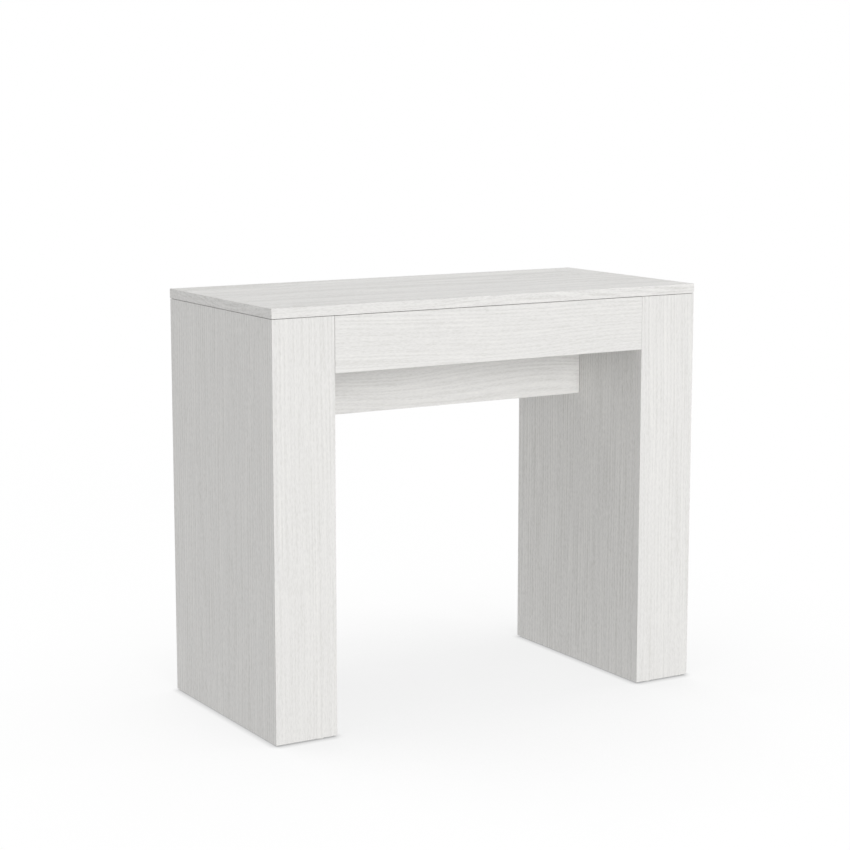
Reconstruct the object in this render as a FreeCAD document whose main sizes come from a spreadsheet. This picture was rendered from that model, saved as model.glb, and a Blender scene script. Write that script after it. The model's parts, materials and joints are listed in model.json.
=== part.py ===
import FreeCAD, Part
import os
import re
import Sketcher
from FreeCAD import Placement, Rotation, Vector

# Extending console table, modelled closed. The front frame carries the top and slides forward off
# the rear frame on two stacks of telescopic rails. When the table is closed the front legs (side
# panel and pilaster) and the rear legs (inner panel and rear pilaster) nest into two hollow boxes.
# Millimetres, +Z up, front towards -Y, origin on the floor under the middle of the table.

doc = FreeCAD.newDocument("extending_console_table")
sheet = doc.addObject("Spreadsheet::Sheet", "sizes")

# Driving dimensions
sizes = {
    # whole table, closed
    "table_width": 900,
    "table_depth": 420,
    "table_height": 770,
    # boards
    "top_thickness": 18,
    "top_overhang": 0.5,
    "top_edge_round": 0.8,
    "shadow_gap": 0.9,
    "board_thickness": 18,
    "arris_round": 0.5,
    "pilaster_width": 121,
    "apron_height": 100,
    "rear_apron_height": 100,
    "crosspiece_height": 100,
    "crosspiece_setback": 203.5,
    "crosspiece_drop": 8,
    "joint_gap": 0.6,
    "closing_gap": 0.6,
    "nesting_gap": 1.5,
    # glides under the legs
    "glide_diameter": 14,
    "glide_height": 3,
    "glide_chamfer": 1,
    "glide_stem_diameter": 5,
    "glide_stem_length": 12,
    "glide_inset": 30,
    # dowels and the holes for everything that goes into a board
    "dowel_diameter": 8,
    "dowel_length": 36,
    "dowel_chamfer": 0.8,
    "dowel_inset": 25,
    "edge_hole_depth": 19,
    "face_hole_depth": 12,
    "fit_gap": 0.05,
    "hole_end_gap": 1,
    # telescopic rails
    "rail_height": 50,
    "rail_width": 13,
    "rail_gap": 1,
    "rail_wall": 2,
    "rail_back": 3,
    "rail_lip": 3,
    "rail_end_gap": 2,
    "rail_drop": 0.5,
    "rail_step": 260,
    "slot_height": 28,
    "slot_mouth": 10,
    "tongue_height": 23,
    "tongue_thickness": 4,
    "tongue_neck": 7,
    "fixed_flange": 18,
    "front_flange": 30,
    "front_flange_thickness": 3,
    "front_foot": 10,
    "front_screw_setback": 18,
    # nylon bearings in the rails' slots and runners on their tongues
    "runner_length": 40,
    "bearing_fit": 0.1,
    "running_gap": 0.3,
    "stop_gap": 0.5,
    # plastic caps that plug the rails' ends
    "cap_thickness": 1.5,
    "cap_plug_length": 8,
    "cap_fit": 0.1,
    # angle brackets between the front frame and the top
    "bracket_length": 40,
    "bracket_leg": 30,
    "bracket_thickness": 2,
    "bracket_hole_spacing": 24,
    "bracket_hole_setback": 18,
    "bracket_clearance": 50,
    "side_bracket_spacing": 220,
    # screws
    "screw_diameter": 3.5,
    "screw_length": 13,
    "screw_tip": 3,
    "head_diameter": 7,
    "head_height": 2.4,
    "head_rim": 1,
    "head_flat": 4.4,
    "recess_width": 1,
    "recess_length": 3.6,
    "recess_depth": 1.2,
    "rail_screw_inset": 30,
    # sockets for the pins of a loose leaf, in the rear edge of the top
    "socket_diameter": 10,
    "socket_bore": 8,
    "socket_length": 22,
    "socket_inset": 150,
}

# Rails in each stack, counted from the one on the rear frame, and screws along a rail
rail_count = 7
rail_screw_count = 4
sides = (("left", -1), ("right", 1))
# How near an edge has to be to a plane to count as on it
closeness = 0.001

for row, (alias, size) in enumerate(sizes.items(), start=1):
    sheet.set(f"A{row}", alias)
    sheet.set(f"B{row}", str(size))
    sheet.setAlias(f"B{row}", alias)
doc.recompute()

# Places worked out from the driving dimensions, as expressions
side_face = "(table_width / 2 - top_overhang)"
front_face = "(table_depth / 2 - top_overhang)"
frame_depth = f"(2 * {front_face})"
inner_face = f"({side_face} - pilaster_width)"
top_underside = "(table_height - top_thickness)"
frame_top = f"({top_underside} - shadow_gap)"
leg_height = f"({frame_top} - glide_height)"
apron_back = f"({front_face} - board_thickness)"
crosspiece_front = f"(crosspiece_setback - {front_face})"
crosspiece_underside = f"({frame_top} - apron_height - crosspiece_drop - crosspiece_height)"
rail_pitch = "(rail_width + rail_gap)"
rail_length = f"(2 * {apron_back} - 2 * rail_end_gap)"
rail_rear = f"({apron_back} - rail_end_gap)"
rail_middle = f"({top_underside} - rail_drop - rail_height / 2)"
slot_depth = "(rail_width - rail_lip - rail_back)"
tongue_near = f"(rail_gap + rail_lip + ({slot_depth} - tongue_thickness) / 2)"
tongue_far = f"({tongue_near} + tongue_thickness)"
bearing_length = f"({rail_length} - rail_step - runner_length - stop_gap)"
pin_hole = "(screw_diameter + 2 * fit_gap)"
dowel_hole = "(dowel_diameter + 2 * fit_gap)"
stem_hole = "(glide_stem_diameter + 2 * fit_gap)"
stem_hole_depth = "(glide_stem_length + hole_end_gap)"
bracket_hole_depth = "(screw_length - bracket_thickness + hole_end_gap)"
front_rail_edge = f"({inner_face} - {rail_count - 1} * {rail_pitch} - front_flange)"
outer_bracket = f"({front_rail_edge} - bracket_clearance - bracket_length / 2)"

subparts = {}


# Gives an expression for the document, with each size's name led by its sheet
def bound(text):
    return re.sub(r"[a-z_]+", lambda word: f"sizes.{word[0]}" if word[0] in sizes else word[0], text)


# Gives the number that an expression comes to now
def number(text):
    return float(sheet.evalExpression(text))


# Gives the point at three expressions
def point(x, y, z):
    return Vector(number(x), number(y), number(z))


# Makes an empty body whose place is bound to the sheet
def new_body(label, x="0", y="0", z="0"):
    body = doc.addObject("PartDesign::Body", label)
    body.Label = label
    for axis, place in zip("xyz", (x, y, z)):
        body.setExpression(f"Placement.Base.{axis}", bound(place))
    return body


# Makes an empty sketch on one of the body's own planes, moved along the plane's normal
def new_sketch(body, role, offset="0"):
    sketch = body.newObject("Sketcher::SketchObject", f"{body.Label}_sketch")
    plane = next(feature for feature in body.Origin.OriginFeatures if feature.Role == role)
    sketch.AttachmentSupport = (plane, [""])
    sketch.MapMode = "FlatFace"
    sketch.setExpression("AttachmentOffset.Base.z", bound(offset))
    return sketch


# Adds one dimension to a sketch and binds it to an expression
def dimension(sketch, name, constraint, text):
    index = sketch.addConstraint(constraint)
    sketch.renameConstraint(index, name)
    sketch.setExpression(f"Constraints.{name}", bound(text))


# Holds one point of a sketch at its place across and up from the sketch's origin
def hold(sketch, line, end, across, up):
    for kind, text in (("DistanceX", across), ("DistanceY", up)):
        constraint = Sketcher.Constraint(kind, -1, 1, line, end, number(text))
        dimension(sketch, f"{kind}_{line}", constraint, text)


# Draws a closed outline through corners given as pairs of expressions
def draw_outline(sketch, corners):
    places = [Vector(number(across), number(up), 0) for across, up in corners]
    first = sketch.GeometryCount
    for start, end in zip(places, places[1:] + places[:1]):
        sketch.addGeometry(Part.LineSegment(start, end), False)
    for index, corner in enumerate(corners):
        following = first + (index + 1) % len(corners)
        sketch.addConstraint(Sketcher.Constraint("Coincident", first + index, 2, following, 1))
        hold(sketch, first + index, 1, *corner)


# Draws circles of one diameter at centres given as pairs of expressions
def draw_circles(sketch, centres, diameter):
    for across, up in centres:
        middle = Vector(number(across), number(up), 0)
        circle = sketch.addGeometry(Part.Circle(middle, Vector(0, 0, 1), number(diameter) / 2), False)
        hold(sketch, circle, 3, across, up)
        constraint = Sketcher.Constraint("Diameter", circle, number(diameter))
        dimension(sketch, f"Diameter_{circle}", constraint, diameter)


# Pads a sketch along its normal, or the other way
def pad(body, sketch, length, reverse=False):
    feature = body.newObject("PartDesign::Pad", f"{body.Label}_pad")
    feature.Profile = sketch
    feature.Reversed = reverse
    feature.setExpression("Length", bound(length))
    return feature


# Cuts a sketch into the body, and stops if nothing was cut away
def pocket(body, sketch, depth, reverse=False):
    doc.recompute()
    volume = body.Shape.Volume
    feature = body.newObject("PartDesign::Pocket", f"{body.Label}_pocket")
    feature.Profile = sketch
    feature.Reversed = reverse
    feature.setExpression("Length", bound(depth))
    doc.recompute()
    if body.Shape.Volume >= volume:
        raise RuntimeError(f"{feature.Label} cuts nothing")


# Drills round holes into the body from a plane
def drill(body, role, offset, centres, diameter, depth, reverse=False):
    sketch = new_sketch(body, role, offset)
    draw_circles(sketch, centres, diameter)
    pocket(body, sketch, depth, reverse)


# Turns an outline, drawn right of the axis, into a body round the Z axis
def turned(label, corners):
    body = new_body(label)
    sketch = new_sketch(body, "XZ_Plane")
    draw_outline(sketch, corners)
    feature = body.newObject("PartDesign::Revolution", f"{label}_turn")
    feature.Profile = sketch
    feature.ReferenceAxis = (sketch, ["V_Axis"])
    doc.recompute()
    return body


# Names the straight edges of a feature that run one way, either all of them or those on one plane
def edges_along(feature, run, normal=None, place="0"):
    names = []
    for index, edge in enumerate(feature.Shape.Edges, start=1):
        start, end = (vertex.Point for vertex in edge.Vertexes)
        parallel = (end - start).cross(run).Length < closeness
        on_plane = normal is None or abs(start.dot(normal) - number(place)) < closeness
        if parallel and on_plane:
            names.append(f"Edge{index}")
    return names


# Rounds edges of a body's feature
def round_edges(body, feature, names, radius):
    rounding = body.newObject("PartDesign::Fillet", f"{body.Label}_round")
    rounding.Base = (feature, names)
    rounding.setExpression("Radius", bound(radius))
    doc.recompute()


# Makes a board from its plan, its lower edge and its height, and gives the body and its pad
def board(label, plan, lower, height):
    body = new_body(label, z=lower)
    sketch = new_sketch(body, "XY_Plane")
    draw_outline(sketch, plan)
    subparts[label] = body
    feature = pad(body, sketch, height)
    doc.recompute()
    return body, feature


# Gives a point of a leg's plan: a way in from the side face and a way back from the front face
def leg_plan(sign, inward, back):
    return f"{sign} * ({side_face} - ({inward}))", f"({back}) - {front_face}"


# Gives a rectangle's corners between two expressions each way
def rectangle(left, right, near, far):
    return [(left, near), (right, near), (right, far), (left, far)]


# Turns a rail's section, drawn inwards from the rail's back, to suit its side of the table
def mirrored(sign, corners):
    return [(f"{-sign} * ({across})", up) for across, up in corners]


# Puts copies of one small piece together as one sub-part
def group(label, master, placements):
    copies = []
    for placement in placements:
        copy = master.Shape.copy()
        copy.Placement = placement
        copies.append(copy)
    feature = doc.addObject("Part::Feature", label)
    feature.Label = label
    feature.Shape = Part.makeCompound(copies)
    subparts[label] = feature


# Puts bodies together as one sub-part
def combine(label, bodies):
    feature = doc.addObject("Part::Compound", label)
    feature.Label = label
    feature.Links = bodies
    subparts[label] = feature


# Placement of a small piece that is drawn going in along +Z
def driven(place, direction):
    return Placement(place, Rotation(Vector(0, 0, 1), direction))


# Depth of the hole in a board's end for a dowel that goes so deep into the board it meets
def end_hole_depth(depth):
    return f"(dowel_length - {depth} + 2 * hole_end_gap - joint_gap)"


# Heights of the two dowels in a board's end, from the board's lower edge
def dowel_heights(height):
    return ["dowel_inset", f"{height} - dowel_inset"]


# Screw places along a rail, counted forward from its rear end
def rail_screw_places():
    spacing = f"({rail_length} - 2 * rail_screw_inset) / {rail_screw_count - 1}"
    return [f"-(rail_screw_inset + {index} * {spacing})" for index in range(rail_screw_count)]


# Brackets as the point at the middle of their corner and the way they reach in from their board
def bracket_places():
    places = []
    for step in (-1, 0, 1):
        places.append((f"{step} * {outer_bracket}", f"-{apron_back}", 0, 1))
    for name, sign in sides:
        for step in (-1, 1):
            face = f"{sign} * ({side_face} - board_thickness)"
            places.append((face, f"{step} * side_bracket_spacing / 2", -sign, 0))
    return places


# The two holes in one leg of a bracket, so far in from its board, as pairs of expressions
def bracket_holes(bracket, setback):
    x, y, across, back = bracket
    holes = []
    for end in (-1, 1):
        hole_x = f"{x} + {across} * {setback} + {end * back} * bracket_hole_spacing / 2"
        hole_y = f"{y} + {back} * {setback} + {end * across} * bracket_hole_spacing / 2"
        holes.append((hole_x, hole_y))
    return holes


# Front legs: side panel and pilaster meet in a glued mitre at the front corner
def make_front_leg(name, sign):
    side_plan = [
        leg_plan(sign, "0", "0"),
        leg_plan(sign, "board_thickness", "board_thickness"),
        leg_plan(sign, "board_thickness", frame_depth),
        leg_plan(sign, "0", frame_depth),
    ]
    side, side_pad = board(f"side_panel_{name}", side_plan, "glide_height", leg_height)
    free_edges = edges_along(side_pad, Vector(0, 0, 1), Vector(0, 1, 0), front_face)
    round_edges(side, side_pad, free_edges, "arris_round")
    screw_height = f"{top_underside} - bracket_hole_setback - glide_height"
    holes = []
    for bracket in bracket_places():
        if bracket[2] == -sign:
            holes += [(y, screw_height) for x, y in bracket_holes(bracket, "bracket_thickness")]
    face = f"{sign} * ({side_face} - board_thickness)"
    drill(side, "YZ_Plane", face, holes, pin_hole, bracket_hole_depth, sign > 0)

    pilaster_plan = [
        leg_plan(sign, "0", "0"),
        leg_plan(sign, "pilaster_width", "0"),
        leg_plan(sign, "pilaster_width", "board_thickness"),
        leg_plan(sign, "board_thickness", "board_thickness"),
    ]
    pilaster, pilaster_pad = board(f"front_pilaster_{name}", pilaster_plan, "glide_height", leg_height)
    free_edges = edges_along(pilaster_pad, Vector(0, 0, 1), Vector(1, 0, 0), f"{sign} * {inner_face}")
    round_edges(pilaster, pilaster_pad, free_edges, "arris_round")
    apron_lower = f"({frame_top} - apron_height - glide_height)"
    middle = f"board_thickness / 2 - {front_face}"
    holes = [(middle, f"{apron_lower} + {height}") for height in dowel_heights("apron_height")]
    drill(pilaster, "YZ_Plane", f"{sign} * {inner_face}", holes, dowel_hole, "edge_hole_depth", sign > 0)
    panel_glides, pilaster_glides = front_glide_places(sign)
    drill(side, "XY_Plane", "0", panel_glides, stem_hole, stem_hole_depth, True)
    drill(pilaster, "XY_Plane", "0", pilaster_glides, stem_hole, stem_hole_depth, True)


# Glides of a front leg: two under the side panel, and one under the pilaster's free end
def front_glide_places(sign):
    middle = "board_thickness / 2"
    panel_glides = [
        leg_plan(sign, middle, "board_thickness + glide_inset"),
        leg_plan(sign, middle, f"{frame_depth} - glide_inset"),
    ]
    return panel_glides, [leg_plan(sign, "pilaster_width - glide_inset", middle)]


# Rear legs: inner panel and rear pilaster meet in a glued mitre at the rear inner corner
def make_rear_leg(name, sign):
    panel_front = "board_thickness + closing_gap"
    panel_outer = "pilaster_width - board_thickness"
    panel_plan = [
        leg_plan(sign, panel_outer, panel_front),
        leg_plan(sign, "pilaster_width", panel_front),
        leg_plan(sign, "pilaster_width", frame_depth),
        leg_plan(sign, panel_outer, f"{frame_depth} - board_thickness"),
    ]
    panel, panel_pad = board(f"inner_panel_{name}", panel_plan, "glide_height", leg_height)
    free_edges = edges_along(panel_pad, Vector(0, 0, 1), Vector(0, 1, 0), f"{panel_front} - {front_face}")
    round_edges(panel, panel_pad, free_edges, "arris_round")

    pilaster_outer = "board_thickness + nesting_gap"
    pilaster_plan = [
        leg_plan(sign, pilaster_outer, f"{frame_depth} - board_thickness"),
        leg_plan(sign, panel_outer, f"{frame_depth} - board_thickness"),
        leg_plan(sign, "pilaster_width", frame_depth),
        leg_plan(sign, pilaster_outer, frame_depth),
    ]
    pilaster, pilaster_pad = board(f"rear_pilaster_{name}", pilaster_plan, "glide_height", leg_height)
    free_place = f"{sign} * ({side_face} - ({pilaster_outer}))"
    free_edges = edges_along(pilaster_pad, Vector(0, 0, 1), Vector(1, 0, 0), free_place)
    round_edges(pilaster, pilaster_pad, free_edges, "arris_round")

    # Holes from the panel's inner face: crosspiece dowels, rear apron dowels and rail screws
    face = f"{sign} * {inner_face}"
    cross_middle = f"{crosspiece_front} + board_thickness / 2"
    cross_lower = f"({crosspiece_underside} - glide_height)"
    holes = [(cross_middle, f"{cross_lower} + {height}") for height in dowel_heights("crosspiece_height")]
    drill(panel, "YZ_Plane", face, holes, dowel_hole, "face_hole_depth", sign > 0)
    apron_lower = f"({frame_top} - rear_apron_height - glide_height)"
    rear_middle = f"{front_face} - board_thickness / 2"
    holes = [(rear_middle, f"{apron_lower} + {height}") for height in dowel_heights("rear_apron_height")]
    drill(panel, "YZ_Plane", face, holes, dowel_hole, "edge_hole_depth", sign > 0)
    drill(pilaster, "YZ_Plane", face, holes, dowel_hole, "edge_hole_depth", sign > 0)
    flange_height = f"{rail_middle} - rail_height / 2 - fixed_flange / 2 - glide_height"
    holes = [(f"{rail_rear} + {place}", flange_height) for place in rail_screw_places()]
    depth = "screw_length - rail_back + hole_end_gap"
    drill(panel, "YZ_Plane", face, holes, pin_hole, depth, sign > 0)
    panel_glides, pilaster_glides = rear_glide_places(sign)
    drill(panel, "XY_Plane", "0", panel_glides, stem_hole, stem_hole_depth, True)
    drill(pilaster, "XY_Plane", "0", pilaster_glides, stem_hole, stem_hole_depth, True)


# Glides of a rear leg: two under the inner panel, and one under the rear pilaster's free end
def rear_glide_places(sign):
    panel_middle = "pilaster_width - board_thickness / 2"
    pilaster_middle = f"{frame_depth} - board_thickness / 2"
    panel_glides = [
        leg_plan(sign, panel_middle, "board_thickness + closing_gap + glide_inset"),
        leg_plan(sign, panel_middle, f"{frame_depth} - board_thickness - glide_inset"),
    ]
    return panel_glides, [leg_plan(sign, "board_thickness + nesting_gap + glide_inset", pilaster_middle)]


# A board that spans the legs, with rounded long edges and two dowel holes in each end
def make_span(label, near, lower, height, depth):
    half = f"({inner_face} - joint_gap)"
    plan = rectangle(f"-{half}", half, near, f"{near} + board_thickness")
    body, feature = board(label, plan, lower, height)
    round_edges(body, feature, edges_along(feature, Vector(1, 0, 0)), "arris_round")
    holes = [(f"{near} + board_thickness / 2", place) for place in dowel_heights(height)]
    for name, sign in sides:
        drill(body, "YZ_Plane", f"{sign} * {half}", holes, dowel_hole, end_hole_depth(depth), sign < 0)
    return body


# Dowels of a spanning board, from inside the boards at its ends
def make_dowels(label, near, lower, height, depth):
    placements = []
    for name, sign in sides:
        for place in dowel_heights(height):
            start = f"{sign} * ({inner_face} + {depth} - hole_end_gap)"
            middle = point(start, f"{near} + board_thickness / 2", f"{lower} + {place}")
            placements.append(driven(middle, Vector(-sign, 0, 0)))
    group(label, dowel, placements)


# The top: every edge rounded, screw holes in the underside and leaf sockets in the rear edge
def make_top():
    half_width = "table_width / 2"
    half_depth = "table_depth / 2"
    plan = rectangle(f"-{half_width}", half_width, f"-{half_depth}", half_depth)
    top, top_pad = board("table_top", plan, top_underside, "top_thickness")
    names = []
    for run in (Vector(1, 0, 0), Vector(0, 1, 0), Vector(0, 0, 1)):
        names += edges_along(top_pad, run)
    round_edges(top, top_pad, names, "top_edge_round")
    holes = []
    for bracket in bracket_places():
        holes += bracket_holes(bracket, "bracket_hole_setback")
    drill(top, "XY_Plane", "0", holes, pin_hole, bracket_hole_depth, True)
    holes = []
    for name, sign in sides:
        holes += [(front_screw_x(sign), f"{rail_rear} + {place}") for place in rail_screw_places()]
    depth = "screw_length - front_flange_thickness + hole_end_gap"
    drill(top, "XY_Plane", "0", holes, pin_hole, depth, True)
    sockets = [(socket_x(sign), "top_thickness / 2") for name, sign in sides]
    diameter = "(socket_diameter + 2 * fit_gap)"
    drill(top, "XZ_Plane", f"-{half_depth}", sockets, diameter, "socket_length + hole_end_gap", True)


# Distance from the middle of the table to a leaf socket
def socket_x(sign):
    return f"{sign} * (table_width / 2 - socket_inset)"


# Distance from the middle of the table to the screws in a front rail's flange
def front_screw_x(sign):
    return f"{sign} * ({inner_face} - {rail_count - 1} * {rail_pitch} - front_screw_setback)"


# The tongue on a rail's back, as corners from its upper root to its lower one
def tongue_corners():
    return [
        ("0", "tongue_neck / 2"),
        (f"-{tongue_near}", "tongue_neck / 2"),
        (f"-{tongue_near}", "tongue_height / 2"),
        (f"-{tongue_far}", "tongue_height / 2"),
        (f"-{tongue_far}", "-tongue_height / 2"),
        (f"-{tongue_near}", "-tongue_height / 2"),
        (f"-{tongue_near}", "-tongue_neck / 2"),
        ("0", "-tongue_neck / 2"),
    ]


# The slot in a rail's open side, as corners from the rail's lower edge to its upper one
def slot_corners():
    lip = "rail_width - rail_lip"
    return [
        ("rail_width", "-rail_height / 2"),
        ("rail_width", "-slot_mouth / 2"),
        (lip, "-slot_mouth / 2"),
        (lip, "-slot_height / 2"),
        ("rail_back", "-slot_height / 2"),
        ("rail_back", "slot_height / 2"),
        (lip, "slot_height / 2"),
        (lip, "slot_mouth / 2"),
        ("rail_width", "slot_mouth / 2"),
        ("rail_width", "rail_height / 2"),
    ]


# The two hollow chambers of a rail, above and below its slot, drawn smaller by a gap all round
def draw_chambers(sketch, sign, gap):
    back, front = f"rail_wall + {gap}", f"rail_width - rail_wall - {gap}"
    inner, outer = f"slot_height / 2 + rail_wall + {gap}", f"rail_height / 2 - rail_wall - {gap}"
    for low, high in ((inner, outer), (f"-({outer})", f"-({inner})")):
        draw_outline(sketch, mirrored(sign, rectangle(back, front, low, high)))


# A rail is an extrusion, drawn in section from its back towards the middle of the table
def make_rail(label, sign, stage, outline, chambers):
    place = f"{sign} * ({inner_face} - {stage} * {rail_pitch})"
    rail = new_body(label, place, rail_rear, rail_middle)
    sketch = new_sketch(rail, "XZ_Plane")
    draw_outline(sketch, mirrored(sign, outline))
    if chambers:
        draw_chambers(sketch, sign, "0")
    pad(rail, sketch, rail_length)
    subparts[label] = rail
    return rail


# Rail on the rear frame: a slot, and a flange below it that is screwed to the inner panel
def make_fixed_rail(name, sign):
    flange_end = "-(rail_height / 2 + fixed_flange)"
    outline = [("0", flange_end), ("rail_back", flange_end), ("rail_back", "-rail_height / 2")]
    outline += slot_corners() + [("0", "rail_height / 2")]
    rail = make_rail(f"fixed_rail_{name}", sign, 0, outline, True)
    height = "-(rail_height / 2 + fixed_flange / 2)"
    holes = [(place, height) for place in rail_screw_places()]
    drill(rail, "YZ_Plane", "0", holes, pin_hole, "rail_back", sign < 0)


# Rails in the middle of a stack: a tongue on the back and a slot on the open side
def make_middle_rail(name, sign, stage):
    outline = [("0", "-rail_height / 2")] + slot_corners()
    outline += [("0", "rail_height / 2")] + tongue_corners()
    make_rail(f"rail_{stage + 1}_{name}", sign, stage, outline, True)


# Rail under the top: a tongue, a stiffening foot and a flange that is screwed to the top
def make_front_rail(name, sign):
    low, high = "-rail_height / 2", "rail_height / 2 + rail_drop"
    thickness = "front_flange_thickness"
    outline = [
        ("0", low),
        ("front_foot", low),
        ("front_foot", f"{low} + {thickness}"),
        (thickness, f"{low} + {thickness}"),
        (thickness, f"{high} - {thickness}"),
        ("front_flange", f"{high} - {thickness}"),
        ("front_flange", high),
        ("0", high),
    ]
    outline += tongue_corners()
    rail = make_rail(f"front_rail_{name}", sign, rail_count - 1, outline, False)
    holes = [(f"{-sign} * front_screw_setback", place) for place in rail_screw_places()]
    drill(rail, "XY_Plane", high, holes, pin_hole, thickness)


# A cap over one end of a rail, with a plug in each chamber and the slot left open
def make_cap(label, sign, stage, end, at_rear):
    place = f"{sign} * ({inner_face} - {stage} * {rail_pitch})"
    cap = new_body(label, place, end, rail_middle)
    plate = new_sketch(cap, "XZ_Plane")
    outline = [("0", "-rail_height / 2")] + slot_corners() + [("0", "rail_height / 2")]
    draw_outline(plate, mirrored(sign, outline))
    pad(cap, plate, "cap_thickness", at_rear)
    plugs = new_sketch(cap, "XZ_Plane")
    draw_chambers(plugs, sign, "cap_fit")
    pad(cap, plugs, "cap_plug_length", not at_rear)
    return cap


# Caps on both ends of the two rails of one stage, as one sub-part
def make_caps(label, stage):
    caps = []
    for name, sign in sides:
        rail_front = f"{rail_rear} - {rail_length}"
        caps.append(make_cap(f"{label}_front_{name}", sign, stage, rail_front, False))
        caps.append(make_cap(f"{label}_rear_{name}", sign, stage, rail_rear, True))
    combine(label, caps)


# A nylon liner between a rail's slot and the next rail's tongue, with a gap on each of its faces
def make_liner(label, sign, stage, rear, length, slot_gap, tongue_gap):
    place = f"{sign} * ({inner_face} - {stage} * {rail_pitch})"
    liner = new_body(label, place, rear, rail_middle)
    back = f"rail_back + {slot_gap}"
    front = f"rail_width - rail_lip - {slot_gap}"
    outer = f"(slot_height / 2 - {slot_gap})"
    hollow_back = f"{rail_pitch} - {tongue_far} - {tongue_gap}"
    hollow_front = f"{rail_pitch} - {tongue_near} + {tongue_gap}"
    hollow = f"(tongue_height / 2 + {tongue_gap})"
    mouth = f"(tongue_neck / 2 + {tongue_gap})"
    outline = [
        (back, f"-{outer}"),
        (front, f"-{outer}"),
        (front, f"-{mouth}"),
        (hollow_front, f"-{mouth}"),
        (hollow_front, f"-{hollow}"),
        (hollow_back, f"-{hollow}"),
        (hollow_back, hollow),
        (hollow_front, hollow),
        (hollow_front, mouth),
        (front, mouth),
        (front, outer),
        (back, outer),
    ]
    sketch = new_sketch(liner, "XZ_Plane")
    draw_outline(sketch, mirrored(sign, outline))
    pad(liner, sketch, length)
    return liner


# A pair of liners, one in each stack, as one sub-part
def make_liner_pair(label, stage, rear, length, slot_gap, tongue_gap):
    pair = []
    for name, sign in sides:
        pair.append(make_liner(f"{label}_{name}", sign, stage, rear, length, slot_gap, tongue_gap))
    combine(label, pair)


# Small pieces that are used many times, each drawn going in along +Z
glide_radius = "glide_diameter / 2"
glide = turned("glide", [
    ("0", "0"),
    (f"{glide_radius} - glide_chamfer", "0"),
    (glide_radius, "glide_chamfer"),
    (glide_radius, "glide_height"),
    ("glide_stem_diameter / 2", "glide_height"),
    ("glide_stem_diameter / 2", "glide_height + glide_stem_length"),
    ("0", "glide_height + glide_stem_length"),
])
dowel_radius = "dowel_diameter / 2"
dowel = turned("dowel", [
    ("0", "0"),
    (f"{dowel_radius} - dowel_chamfer", "0"),
    (dowel_radius, "dowel_chamfer"),
    (dowel_radius, "dowel_length - dowel_chamfer"),
    (f"{dowel_radius} - dowel_chamfer", "dowel_length"),
    ("0", "dowel_length"),
])
screw = turned("screw", [
    ("0", "-head_height"),
    ("head_flat / 2", "-head_height"),
    ("head_diameter / 2", "-head_rim"),
    ("head_diameter / 2", "0"),
    ("screw_diameter / 2", "0"),
    ("screw_diameter / 2", "screw_length - screw_tip"),
    ("0", "screw_length"),
])
recess = new_sketch(screw, "XY_Plane", "-head_height")
arm, half_slot = "recess_length / 2", "recess_width / 2"
draw_outline(recess, [
    (arm, f"-{half_slot}"),
    (arm, half_slot),
    (half_slot, half_slot),
    (half_slot, arm),
    (f"-{half_slot}", arm),
    (f"-{half_slot}", half_slot),
    (f"-{arm}", half_slot),
    (f"-{arm}", f"-{half_slot}"),
    (f"-{half_slot}", f"-{half_slot}"),
    (f"-{half_slot}", f"-{arm}"),
    (half_slot, f"-{arm}"),
    (half_slot, f"-{half_slot}"),
])
pocket(screw, recess, "recess_depth", True)
socket = turned("leaf_socket", [
    ("socket_bore / 2", "0"),
    ("socket_diameter / 2", "0"),
    ("socket_diameter / 2", "socket_length"),
    ("socket_bore / 2", "socket_length"),
])

# Angle bracket: one leg against a board at y 0, the other under the top at z 0
bracket = new_body("bracket")
bracket_sketch = new_sketch(bracket, "YZ_Plane", "-bracket_length / 2")
draw_outline(bracket_sketch, [
    ("0", "0"),
    ("bracket_leg", "0"),
    ("bracket_leg", "-bracket_thickness"),
    ("bracket_thickness", "-bracket_thickness"),
    ("bracket_thickness", "-bracket_leg"),
    ("0", "-bracket_leg"),
])
pad(bracket, bracket_sketch, "bracket_length")
ends = [f"{end} * bracket_hole_spacing / 2" for end in (-1, 1)]
drill(bracket, "XY_Plane", "0", [(x, "bracket_hole_setback") for x in ends], pin_hole, "bracket_thickness")
drill(bracket, "XZ_Plane", "0", [(x, "-bracket_hole_setback") for x in ends], pin_hole, "bracket_thickness")

# Boards
make_top()
for name, sign in sides:
    make_front_leg(name, sign)
    make_rear_leg(name, sign)
apron_place = (f"-{front_face}", f"({frame_top} - apron_height)", "apron_height", "edge_hole_depth")
rear_place = (apron_back, f"({frame_top} - rear_apron_height)", "rear_apron_height", "edge_hole_depth")
cross_place = (crosspiece_front, crosspiece_underside, "crosspiece_height", "face_hole_depth")
front_apron = make_span("front_apron", *apron_place)
make_span("rear_apron", *rear_place)
make_span("crosspiece", *cross_place)
screw_height = "apron_height + shadow_gap - bracket_hole_setback"
holes = []
for place in bracket_places():
    if place[3]:
        holes += [(x, screw_height) for x, y in bracket_holes(place, "bracket_thickness")]
drill(front_apron, "XZ_Plane", apron_back, holes, pin_hole, bracket_hole_depth, True)

# Dowels, glides and leaf sockets
make_dowels("front_apron_dowels", *apron_place)
make_dowels("rear_apron_dowels", *rear_place)
make_dowels("crosspiece_dowels", *cross_place)
for label, glide_places in (("front_glides", front_glide_places), ("rear_glides", rear_glide_places)):
    placements = []
    for name, sign in sides:
        panel_glides, pilaster_glides = glide_places(sign)
        for x, y in panel_glides + pilaster_glides:
            placements.append(Placement(point(x, y, "0"), Rotation()))
    group(label, glide, placements)
socket_height = "table_height - top_thickness / 2"
placements = []
for name, sign in sides:
    mouth = point(socket_x(sign), "table_depth / 2", socket_height)
    placements.append(driven(mouth, Vector(0, -1, 0)))
group("leaf_sockets", socket, placements)

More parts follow.
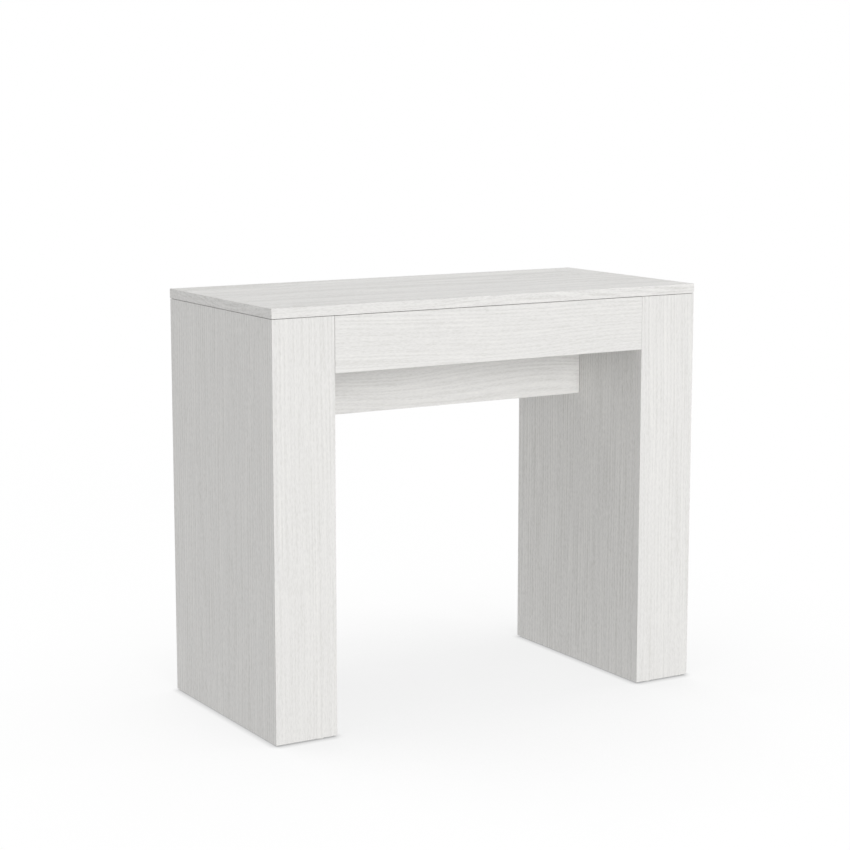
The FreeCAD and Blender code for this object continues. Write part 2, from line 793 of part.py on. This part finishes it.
# Brackets and their screws
placements = []
screws = []
for place in bracket_places():
    x, y, across, back = place
    inward = Vector(across, back, 0)
    placements.append(Placement(point(x, y, top_underside), Rotation(Vector(0, 1, 0), inward)))
    for hole_x, hole_y in bracket_holes(place, "bracket_hole_setback"):
        seat = point(hole_x, hole_y, f"{top_underside} - bracket_thickness")
        screws.append(driven(seat, Vector(0, 0, 1)))
    for hole_x, hole_y in bracket_holes(place, "bracket_thickness"):
        seat = point(hole_x, hole_y, f"{top_underside} - bracket_hole_setback")
        screws.append(driven(seat, -inward))
group("top_brackets", bracket, placements)
group("bracket_screws", screw, screws)

# Rails and their screws
fixed_screws = []
front_screws = []
for name, sign in sides:
    make_fixed_rail(name, sign)
    for stage in range(1, rail_count - 1):
        make_middle_rail(name, sign, stage)
    make_front_rail(name, sign)
    for place in rail_screw_places():
        y = f"{rail_rear} + {place}"
        height = f"{rail_middle} - rail_height / 2 - fixed_flange / 2"
        seat = point(f"{sign} * ({inner_face} - rail_back)", y, height)
        fixed_screws.append(driven(seat, Vector(sign, 0, 0)))
        seat = point(front_screw_x(sign), y, f"{top_underside} - front_flange_thickness")
        front_screws.append(driven(seat, Vector(0, 0, 1)))
group("fixed_rail_screws", screw, fixed_screws)
group("front_rail_screws", screw, front_screws)

# Bearings stay in the front end of a rail's slot, runners on the rear end of the next rail's tongue,
# and caps close the ends of every rail that has a slot
for stage in range(rail_count - 1):
    slot_end = f"{rail_rear} - {rail_length} + {bearing_length}"
    make_liner_pair(f"bearings_{stage + 1}", stage, slot_end, bearing_length, "bearing_fit", "running_gap")
    make_liner_pair(f"runners_{stage + 2}", stage, rail_rear, "runner_length", "running_gap", "bearing_fit")
    make_caps(f"rail_caps_{stage + 1}", stage)

doc.recompute()
for item in doc.Objects:
    if "Invalid" in item.State or "Error" in item.State:
        raise RuntimeError(f"{item.Label} failed to build")
for label, item in subparts.items():
    if item.Shape.isNull() or not item.Shape.isValid():
        raise RuntimeError(f"{label} has no valid shape")

os.makedirs("parts", exist_ok=True)
for label, item in subparts.items():
    item.Shape.exportStep(f"parts/{label}.step")
    box = item.Shape.BoundBox
    extent = f"{box.XLength:.1f} x {box.YLength:.1f} x {box.ZLength:.1f} mm"
    print(f"{label}: {len(item.Shape.Solids)} solids, {extent}")
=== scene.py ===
import json
import math

import bpy
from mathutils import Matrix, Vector

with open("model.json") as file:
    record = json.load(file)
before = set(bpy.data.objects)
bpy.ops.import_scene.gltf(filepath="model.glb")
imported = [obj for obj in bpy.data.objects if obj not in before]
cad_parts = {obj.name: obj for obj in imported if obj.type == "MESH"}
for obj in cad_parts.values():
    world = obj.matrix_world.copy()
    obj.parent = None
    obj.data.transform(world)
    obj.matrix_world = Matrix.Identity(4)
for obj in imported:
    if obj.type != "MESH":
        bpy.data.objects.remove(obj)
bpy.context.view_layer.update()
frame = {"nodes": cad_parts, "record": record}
nodes = frame["nodes"]
axes = {"X": 0, "Y": 1, "Z": 2}
mm = 0.001
middle = 0.5                     # the mean of a noise
lowNoise, highNoise = 0.3, 0.7   # nearly all of it lies between these
print("frame loaded,", len(nodes), "nodes")


def toLinear(colour):
    # "#RRGGBB" as drawn on screen -> linear RGBA
    channels = [int(colour[i:i + 2], 16) / 255 for i in (1, 3, 5)]
    return [c / 12.92 if c <= 0.04045 else ((c + 0.055) / 1.055) ** 2.4 for c in channels] + [1.0]


def addNode(tree, kind, inputs={}, **settings):
    # an input is a plain value, or another node's output to link
    node = tree.nodes.new(kind)
    for key, value in settings.items():
        setattr(node, key, value)
    for socket, value in inputs.items():
        if isinstance(value, bpy.types.NodeSocket):
            tree.links.new(value, node.inputs[socket])
        else:
            node.inputs[socket].default_value = value
    return node


def newMaterial(name):
    material = bpy.data.materials.new(name)
    material.use_nodes = True
    return material, material.node_tree, material.node_tree.nodes["Principled BSDF"]


def setRamp(node, stops):
    # stops: list of (position, colour)
    ramp = node.color_ramp
    while len(ramp.elements) < len(stops):
        ramp.elements.new(0.5)
    for element, (position, colour) in zip(ramp.elements, stops):
        element.position = position
        element.color = toLinear(colour)


def stretch(axis, length, width):
    # pattern frequency: long along the axis, narrow across it, both in mm
    scale = [1 / (width * mm)] * 3
    scale[axes[axis]] = 1 / (length * mm)
    return scale


def dress(name, material):
    slots = nodes[name].data.materials
    slots.clear()
    slots.append(material)


# white ash laminate

laminate = {
    "paleColour": "#EFEEEB",     # early wood
    "faceColour": "#E6E5E3",
    "grainColour": "#D8D7D3",    # late wood and open pores
    "bandLength": 900,           # mm, broad tone along the printed planks
    "streakWidth": 3.2,          # mm, one streak of late wood
    "ringSpacing": 8.5,          # mm from one growth ring to the next
    "ringLength": 1500,          # mm
    "ringWander": 5.0,           # how unevenly they are spaced
    "poreWidth": 2.0,            # mm; real ash pores are 0.3, drawn wider so that they show
    "poreLength": 8,
    "driftWidth": 110,           # mm, how far apart the figure bends differently
    "driftLength": 420,
    "streakShare": 0.53,         # of the fine figure; the rest is pores
    "crowdFrom": 0.35,           # broad tone in which the rings fade out, and in which they crowd
    "crowdTo": 0.65,
    "fewRings": 0.15,            # share of them that is left there
    "manyRings": 0.85,
    "darkReach": 0.20,           # how far from the mean the print is at its darkest and palest
    "paleReach": 0.18,
    "endFacing": 0.7,            # a face that points along the grain by more than this is an end
    "boardShift": (0.31, 0.47, 0.23),   # m from one board's print to the next, so that none repeat
    "embossDepth": 0.04,         # mm, pressed into the melamine
    "smooth": 0.40,              # roughness on the flats
    "rough": 0.58,               # roughness in the pores
    "ior": 1.50,
}

# the figure runs up the legs and along what spans; "face" is the way the board faces and "edge"
# the way its edge band runs, "streak" is how long a streak lasts and "drift" how far it wanders
# sideways, both in mm, "rings" is the share of the streaks that are regular growth rings, "band"
# is the share and "bandWidth" the width in mm of the broad tone, and "contrast" is the print's
spanning = {"grain": "X", "face": "Y", "edge": "Y", "streak": 110, "drift": 34, "rings": 0.45,
            "band": 0.10, "bandWidth": 45, "contrast": 0.92}
upright = {"grain": "Z", "face": "X", "edge": "Y", "streak": 170, "drift": 9, "rings": 0.34,
           "band": 0.08, "bandWidth": 45, "contrast": 1.12}
boards = {"table_top": {**spanning, "face": "Z", "streak": 170, "drift": 70, "rings": 0.30,
                        "band": 0.36, "bandWidth": 32, "contrast": 1.65}}
for name in ("front_apron", "rear_apron", "crosspiece"):
    boards[name] = spanning
for side in ("left", "right"):
    boards["side_panel_" + side] = upright
    boards["inner_panel_" + side] = {**upright, "contrast": 1.35}
    for name in ("front_pilaster_", "rear_pilaster_"):
        boards[name + side] = {**upright, "face": "Y", "edge": "X", "contrast": 0.82}


def makeLaminate(name, board, shift):
    # Melamine paper printed with limed ash and pressed against a grained plate: an even
    # off-white with faint grey streaks along the board, and a satin sheen broken by the pores.
    s = laminate
    material, tree, bsdf = newMaterial(name)
    place = addNode(tree, "ShaderNodeTexCoord").outputs["Object"]
    moved = addNode(tree, "ShaderNodeVectorMath", {0: place, 1: shift}, operation="ADD")
    parts = addNode(tree, "ShaderNodeSeparateXYZ", {0: moved.outputs[0]}).outputs
    turned = [parts[0], parts[1], parts[2]]
    grain = board["grain"]
    a, b = axes[grain], axes[board["edge"]]
    turned[a], turned[b] = turned[b], turned[a]
    onEdge = addNode(tree, "ShaderNodeCombineXYZ", {i: turned[i] for i in range(3)})
    facing = addNode(tree, "ShaderNodeSeparateXYZ",
                     {0: addNode(tree, "ShaderNodeNewGeometry").outputs["True Normal"]})
    square = addNode(tree, "ShaderNodeMath", {0: facing.outputs[a]}, operation="ABSOLUTE")
    isEdge = addNode(tree, "ShaderNodeMath",
                     {0: square.outputs[0], 1: s["endFacing"]}, operation="GREATER_THAN")
    place = addNode(tree, "ShaderNodeMix",
                    {0: isEdge.outputs[0], 4: moved.outputs[0], 5: onEdge.outputs[0]},
                    data_type="VECTOR").outputs[1]

    def figure(at, length, width, detail):
        mapped = addNode(tree, "ShaderNodeVectorMath",
                         {0: at, 1: stretch(grain, length, width)}, operation="MULTIPLY")
        return addNode(tree, "ShaderNodeTexNoise",
                       {"Vector": mapped.outputs[0], "Scale": 1.0, "Detail": detail})

    bend = figure(place, s["driftLength"], s["driftWidth"], 0.0)
    centred = addNode(tree, "ShaderNodeVectorMath",
                      {0: bend.outputs["Color"], 1: [middle] * 3}, operation="SUBTRACT")
    bent = addNode(tree, "ShaderNodeVectorMath",
                   {0: centred.outputs[0], 1: [board["drift"] * mm] * 3, 2: place},
                   operation="MULTIPLY_ADD").outputs[0]
    bands = figure(bent, s["bandLength"], board["bandWidth"], 1.0).outputs[0]
    loose = figure(bent, board["streak"], s["streakWidth"], 1.0).outputs[0]
    # the wave lies on a slanted axis, so that it crosses every face of the board
    wavePeriod = 0.2 * math.pi
    ringScale = stretch(grain, s["ringLength"], s["ringSpacing"] / wavePeriod)
    mapped = addNode(tree, "ShaderNodeVectorMath", {0: bent, 1: ringScale}, operation="MULTIPLY")
    wave = addNode(tree, "ShaderNodeTexWave",
                   {"Vector": mapped.outputs[0], "Scale": 1.0, "Distortion": s["ringWander"],
                    "Detail": 1.0, "Detail Scale": 1.0}, bands_direction="DIAGONAL").outputs["Fac"]
    # rings crowd together in some bands and fade out in others
    crowd = addNode(tree, "ShaderNodeMapRange",
                    {"Value": bands, 1: s["crowdFrom"], 2: s["crowdTo"],
                     3: s["fewRings"], 4: s["manyRings"]})
    rings = addNode(tree, "ShaderNodeMix", {0: crowd.outputs[0], 2: middle, 3: wave}).outputs[0]
    streaks = addNode(tree, "ShaderNodeMix", {0: board["rings"], 2: loose, 3: rings}).outputs[0]
    pores = figure(bent, s["poreLength"], s["poreWidth"], 1.0).outputs[0]
    fine = addNode(tree, "ShaderNodeMix", {0: s["streakShare"], 2: pores, 3: streaks}).outputs[0]
    # an edge band is a strip of one tone
    onFace = addNode(tree, "ShaderNodeMath",
                     {0: facing.outputs[axes[board["face"]]]}, operation="ABSOLUTE")
    broad = addNode(tree, "ShaderNodeMix", {0: onFace.outputs[0], 2: middle, 3: bands}).outputs[0]
    tone = addNode(tree, "ShaderNodeMix", {0: board["band"], 2: fine, 3: broad}).outputs[0]
    colour = addNode(tree, "ShaderNodeValToRGB", {0: tone})
    setRamp(colour, [(middle - s["darkReach"] / board["contrast"], s["grainColour"]),
                     (middle, s["faceColour"]),
                     (middle + s["paleReach"] / board["contrast"], s["paleColour"])])
    gloss = addNode(tree, "ShaderNodeMapRange",
                    {"Value": pores, 1: lowNoise, 2: highNoise, 3: s["rough"], 4: s["smooth"]})
    height = addNode(tree, "ShaderNodeMath", {0: streaks, 1: pores}, operation="ADD")
    emboss = addNode(tree, "ShaderNodeBump",
                     {"Height": height.outputs[0], "Distance": s["embossDepth"] * mm,
                      "Strength": 1.0})
    tree.links.new(colour.outputs[0], bsdf.inputs["Base Color"])
    tree.links.new(gloss.outputs[0], bsdf.inputs["Roughness"])
    tree.links.new(emboss.outputs[0], bsdf.inputs["Normal"])
    bsdf.inputs["IOR"].default_value = s["ior"]
    return material


for number, (name, board) in enumerate(boards.items()):
    shift = [number * step for step in laminate["boardShift"]]
    dress(name, makeLaminate("whiteAshLaminate." + name, board, shift))
print("laminate on", len(boards), "boards")


# rails, hardware and plastics

aluminium = {
    "colour": "#C6C8CA",
    "dieLineWidth": 1.2,     # mm; real drawing lines are about 0.2, drawn wider so that they show
    "dieLineLength": 600,
    "lineDepth": 0.02,
    "smooth": 0.26,
    "rough": 0.40,
}


def makeAluminium():
    # Aluminium pushed through a die, then clear anodised: pale satin grey with fine lines lengthwise.
    s = aluminium
    material, tree, bsdf = newMaterial("anodisedAluminiumExtrusion")
    place = addNode(tree, "ShaderNodeTexCoord").outputs["Object"]
    mapped = addNode(tree, "ShaderNodeVectorMath",
                     {0: place, 1: stretch("Y", s["dieLineLength"], s["dieLineWidth"])},
                     operation="MULTIPLY")
    lines = addNode(tree, "ShaderNodeTexNoise",
                    {"Vector": mapped.outputs[0], "Scale": 1.0, "Detail": 2.0}).outputs[0]
    gloss = addNode(tree, "ShaderNodeMapRange",
                    {"Value": lines, 1: lowNoise, 2: highNoise, 3: s["smooth"], 4: s["rough"]})
    scratch = addNode(tree, "ShaderNodeBump",
                      {"Height": lines, "Distance": s["lineDepth"] * mm, "Strength": 1.0})
    tree.links.new(gloss.outputs[0], bsdf.inputs["Roughness"])
    tree.links.new(scratch.outputs[0], bsdf.inputs["Normal"])
    bsdf.inputs["Base Color"].default_value = toLinear(s["colour"])
    bsdf.inputs["Metallic"].default_value = 1.0
    return material


zinc = {
    "pale": "#C9CDD2",
    "deep": "#AEB3B9",
    "deepAt": 0.35,          # where in the noise each colour lies
    "paleAt": 0.65,
    "cloudSize": 3.0,        # mm, patches in the plating
    "smooth": 0.22,
    "rough": 0.36,
}


def makeZinc():
    # Pressed and cold headed steel, bright zinc plated: bluish silver with cloudy patches.
    s = zinc
    material, tree, bsdf = newMaterial("zincPlatedSteel")
    place = addNode(tree, "ShaderNodeTexCoord").outputs["Object"]
    cloud = addNode(tree, "ShaderNodeTexNoise",
                    {"Vector": place, "Scale": 1 / (s["cloudSize"] * mm), "Detail": 3.0}).outputs[0]
    colour = addNode(tree, "ShaderNodeValToRGB", {0: cloud})
    setRamp(colour, [(s["deepAt"], s["deep"]), (s["paleAt"], s["pale"])])
    gloss = addNode(tree, "ShaderNodeMapRange",
                    {"Value": cloud, 1: lowNoise, 2: highNoise, 3: s["rough"], 4: s["smooth"]})
    tree.links.new(colour.outputs[0], bsdf.inputs["Base Color"])
    tree.links.new(gloss.outputs[0], bsdf.inputs["Roughness"])
    bsdf.inputs["Metallic"].default_value = 1.0
    return material


plastics = {
    "nylon": {"name": "mouldedBlackNylon", "pale": "#2B2B2D", "deep": "#1D1D1F", "ior": 1.53},
    "polyethylene": {"name": "mouldedGreyPolyethylene", "pale": "#D3D3D0", "deep": "#CACAC7",
                     "ior": 1.51},
    "deepAt": 0.35,
    "paleAt": 0.65,
    "flowSize": 6.0,         # mm, faint cloudiness from the moulding
    "grit": 0.6,             # mm; the spark-eroded grain is about 0.1, drawn coarser so that it shows
    "gritDepth": 0.015,
    "smooth": 0.42,
    "rough": 0.58,
}


def makePlastic(kind):
    # Injection moulded in a spark-eroded tool: dull and even, with a fine grit.
    s = plastics
    own = s[kind]
    material, tree, bsdf = newMaterial(own["name"])
    place = addNode(tree, "ShaderNodeTexCoord").outputs["Object"]
    flow = addNode(tree, "ShaderNodeTexNoise",
                   {"Vector": place, "Scale": 1 / (s["flowSize"] * mm), "Detail": 2.0}).outputs[0]
    grit = addNode(tree, "ShaderNodeTexNoise",
                   {"Vector": place, "Scale": 1 / (s["grit"] * mm), "Detail": 1.0}).outputs[0]
    colour = addNode(tree, "ShaderNodeValToRGB", {0: flow})
    setRamp(colour, [(s["deepAt"], own["deep"]), (s["paleAt"], own["pale"])])
    gloss = addNode(tree, "ShaderNodeMapRange",
                    {"Value": grit, 1: lowNoise, 2: highNoise, 3: s["smooth"], 4: s["rough"]})
    bumps = addNode(tree, "ShaderNodeBump",
                    {"Height": grit, "Distance": s["gritDepth"] * mm, "Strength": 1.0})
    tree.links.new(colour.outputs[0], bsdf.inputs["Base Color"])
    tree.links.new(gloss.outputs[0], bsdf.inputs["Roughness"])
    tree.links.new(bumps.outputs[0], bsdf.inputs["Normal"])
    bsdf.inputs["IOR"].default_value = own["ior"]
    return material


beech = {
    "pale": "#D3AE82",
    "deep": "#B98F62",
    "deepAt": 0.35,
    "paleAt": 0.6,
    "fleckWidth": 0.8,       # mm, the ray flecks of beech
    "fleckLength": 6.0,
    "roughness": 0.75,
    "ior": 1.45,
}


def makeBeech():
    # Beech rod, turned and left raw: pinkish tan with short darker flecks along the pin.
    s = beech
    material, tree, bsdf = newMaterial("rawTurnedBeech")
    place = addNode(tree, "ShaderNodeTexCoord").outputs["Object"]
    mapped = addNode(tree, "ShaderNodeVectorMath",
                     {0: place, 1: stretch("X", s["fleckLength"], s["fleckWidth"])},
                     operation="MULTIPLY")
    flecks = addNode(tree, "ShaderNodeTexNoise",
                     {"Vector": mapped.outputs[0], "Scale": 1.0, "Detail": 2.0}).outputs[0]
    colour = addNode(tree, "ShaderNodeValToRGB", {0: flecks})
    setRamp(colour, [(s["deepAt"], s["deep"]), (s["paleAt"], s["pale"])])
    tree.links.new(colour.outputs[0], bsdf.inputs["Base Color"])
    bsdf.inputs["Roughness"].default_value = s["roughness"]
    bsdf.inputs["IOR"].default_value = s["ior"]
    return material


finishes = {
    "aluminium_extrusion": makeAluminium(),
    "zinc_plated_steel": makeZinc(),
    "nylon": makePlastic("nylon"),
    "moulded_plastic": makePlastic("polyethylene"),
    "beech": makeBeech(),
}
for piece in frame["record"]["subparts"]:
    if piece["material_slot"] in finishes:
        dress(piece["node"], finishes[piece["material_slot"]])
print("rails, hardware and plastics dressed")


# floor, world and lamps

studio = {
    "floorSize": 24.0,         # m across
    "floorLight": 0.66,        # what the floor throws back up at the table
    "shadowColour": "#505050",   # the matt part that the camera sees, which keeps the lamps' shadows
    "glow": 0.937,             # the rest, which lifts the open floor to white
    "paintedShadowGlow": 0.832,        # a painted shadow: the glow is held back to this where the table stands over it
    "paintedShadowReach": 1.0,        # m, how far that painted soft shadow spreads
    "lean": 26,                # degrees from upright, to the left and to the right, for its two looks
    "underSky": 0.63,          # share of the sky left over the darkest and the palest of it
    "openSky": 1.0,
    "paintedContactShade": 0.42,           # painted contact shade: what is left of the glow where a leg almost touches
    "paintedContactReach": 0.015,     # m
    "shadowSamples": 8,        # rays for each look at the sky
    "fadeFrom": 2.4,           # m from the middle, where the floor starts to melt into the backdrop
    "fadeTo": 4.5,
    "ambient": 0.467,          # light from all round
}


def seenDirectly(tree):
    # what the camera sees, also in metal and through glass, as against what lights the table
    path = addNode(tree, "ShaderNodeLightPath").outputs
    seen = addNode(tree, "ShaderNodeMath",
                   {0: path["Is Camera Ray"], 1: path["Is Glossy Ray"]}, operation="MAXIMUM")
    seen = addNode(tree, "ShaderNodeMath",
                   {0: seen.outputs[0], 1: path["Is Transmission Ray"]}, operation="MAXIMUM")
    return seen.outputs[0]


def makeFloor():
    s = studio
    half = s["floorSize"] / 2
    mesh = bpy.data.meshes.new("floor")
    mesh.from_pydata([(-half, -half, 0), (half, -half, 0), (half, half, 0), (-half, half, 0)],
                     [], [(0, 1, 2, 3)])
    floor = bpy.data.objects.new("floor", mesh)
    bpy.context.scene.collection.objects.link(floor)
    material = bpy.data.materials.new("paleStudioFloorWithPaintedShadow")
    material.use_nodes = True
    tree = material.node_tree
    tree.nodes.clear()
    place = addNode(tree, "ShaderNodeTexCoord").outputs["Object"]
    away = addNode(tree, "ShaderNodeVectorMath", {0: place}, operation="LENGTH").outputs["Value"]
    fade = addNode(tree, "ShaderNodeMapRange",
                   {"Value": away, 1: s["fadeFrom"], 2: s["fadeTo"]}, interpolation_type="SMOOTHSTEP")
    bounce = addNode(tree, "ShaderNodeEmission", {"Strength": s["floorLight"]})
    dim = addNode(tree, "ShaderNodeBsdfDiffuse", {"Color": toLinear(s["shadowColour"])})
    # a painted shadow, from ambient occlusion that dims the glow: the more open of two slanted looks
    # at the sky, so that the painted shadow is wide before and behind the table and narrow beside its
    # legs
    lean = math.radians(s["lean"])
    looks = []
    for way in (-1, 1):
        up = addNode(tree, "ShaderNodeCombineXYZ", {0: way * math.sin(lean), 2: math.cos(lean)})
        looks.append(addNode(tree, "ShaderNodeAmbientOcclusion",
                             {"Distance": s["paintedShadowReach"], "Normal": up.outputs[0]},
                             samples=s["shadowSamples"]))
    around = addNode(tree, "ShaderNodeMath",
                     {0: looks[0].outputs["AO"], 1: looks[1].outputs["AO"]}, operation="MAXIMUM")
    near = addNode(tree, "ShaderNodeAmbientOcclusion",
                   {"Distance": s["paintedContactReach"]}, samples=s["shadowSamples"])
    # painted soft shadow: the floor's glow is dimmed where the table stands over it
    paintedSoftShadow = addNode(tree, "ShaderNodeMapRange",
                   {"Value": around.outputs[0], 1: s["underSky"], 2: s["openSky"],
                    3: s["paintedShadowGlow"], 4: s["glow"]})
    # painted contact shade: the glow is darkened right at the legs' lower edges
    paintedContactShade = addNode(tree, "ShaderNodeMapRange",
                      {"Value": near.outputs["AO"], 3: s["paintedContactShade"], 4: 1.0})
    level = addNode(tree, "ShaderNodeMath",
                    {0: paintedSoftShadow.outputs[0], 1: paintedContactShade.outputs[0]}, operation="MULTIPLY")
    glow = addNode(tree, "ShaderNodeEmission", {"Strength": level.outputs[0]})
    both = addNode(tree, "ShaderNodeAddShader", {0: dim.outputs[0], 1: glow.outputs[0]})
    white = addNode(tree, "ShaderNodeEmission", {"Strength": 1.0})
    shown = addNode(tree, "ShaderNodeMixShader",
                    {0: fade.outputs[0], 1: both.outputs[0], 2: white.outputs[0]})
    mixed = addNode(tree, "ShaderNodeMixShader",
                    {0: seenDirectly(tree), 1: bounce.outputs[0], 2: shown.outputs[0]})
    addNode(tree, "ShaderNodeOutputMaterial", {"Surface": mixed.outputs[0]})
    mesh.materials.append(material)


def makeWorld():
    world = bpy.data.worlds.new("softWhiteRoom")
    bpy.context.scene.world = world
    world.use_nodes = True
    tree = world.node_tree
    tree.nodes.clear()
    level = addNode(tree, "ShaderNodeMapRange",
                    {"Value": seenDirectly(tree), 3: studio["ambient"], 4: 1.0})
    glow = addNode(tree, "ShaderNodeBackground",
                   {"Color": toLinear("#FFFFFF"), "Strength": level.outputs[0]})
    addNode(tree, "ShaderNodeOutputWorld", {"Surface": glow.outputs[0]})


# far off, so that they light every part and pose of the table evenly; "spread" is in degrees, and
# the top light isn't mirrored, or the rails would burn out to white from above
lamps = {
    "frontLight": {"from": (-0.115, -1.0, 0.195), "spread": 28, "power": 1.365, "mirrored": True},
    "topLight": {"from": (0.0, -0.05, 1.0), "spread": 40, "power": 0.74, "mirrored": False},
}


def makeLamps():
    for name, s in lamps.items():
        light = bpy.data.lights.new(name, "SUN")
        light.angle = math.radians(s["spread"])
        light.energy = s["power"]
        lamp = bpy.data.objects.new(name, light)
        lamp.rotation_euler = Vector(s["from"]).to_track_quat("Z", "Y").to_euler()
        lamp.visible_glossy = s["mirrored"]
        bpy.context.scene.collection.objects.link(lamp)


makeFloor()
makeWorld()
makeLamps()
bpy.context.scene.view_settings.view_transform = "Standard"
print("floor, world and", len(lamps), "lamps")


# camera

view = {
    "place": (-2.0576, -3.4142, 1.1458),   # m
    "turn": 30.799,                        # degrees from straight ahead, towards +X
    "tilt": 8.863,                         # degrees down
    "focal": 2122.7,                       # in pixels of the photograph
    "imageWidth": 850,
    "sensor": 36.0,                        # mm
    "shift": -0.0118,                      # of the width; the lens is dropped, as in the photograph
}


def makeCamera():
    s = view
    data = bpy.data.cameras.new("camera")
    data.sensor_width = s["sensor"]
    data.lens = s["focal"] / s["imageWidth"] * s["sensor"]
    data.shift_y = s["shift"]
    camera = bpy.data.objects.new("camera", data)
    turn, tilt = math.radians(s["turn"]), math.radians(s["tilt"])
    level = math.cos(tilt)
    ahead = Vector((math.sin(turn) * level, math.cos(turn) * level, -math.sin(tilt)))
    camera.location = s["place"]
    camera.rotation_euler = ahead.to_track_quat("-Z", "Y").to_euler()
    bpy.context.scene.collection.objects.link(camera)
    bpy.context.scene.camera = camera


makeCamera()
print("camera set")
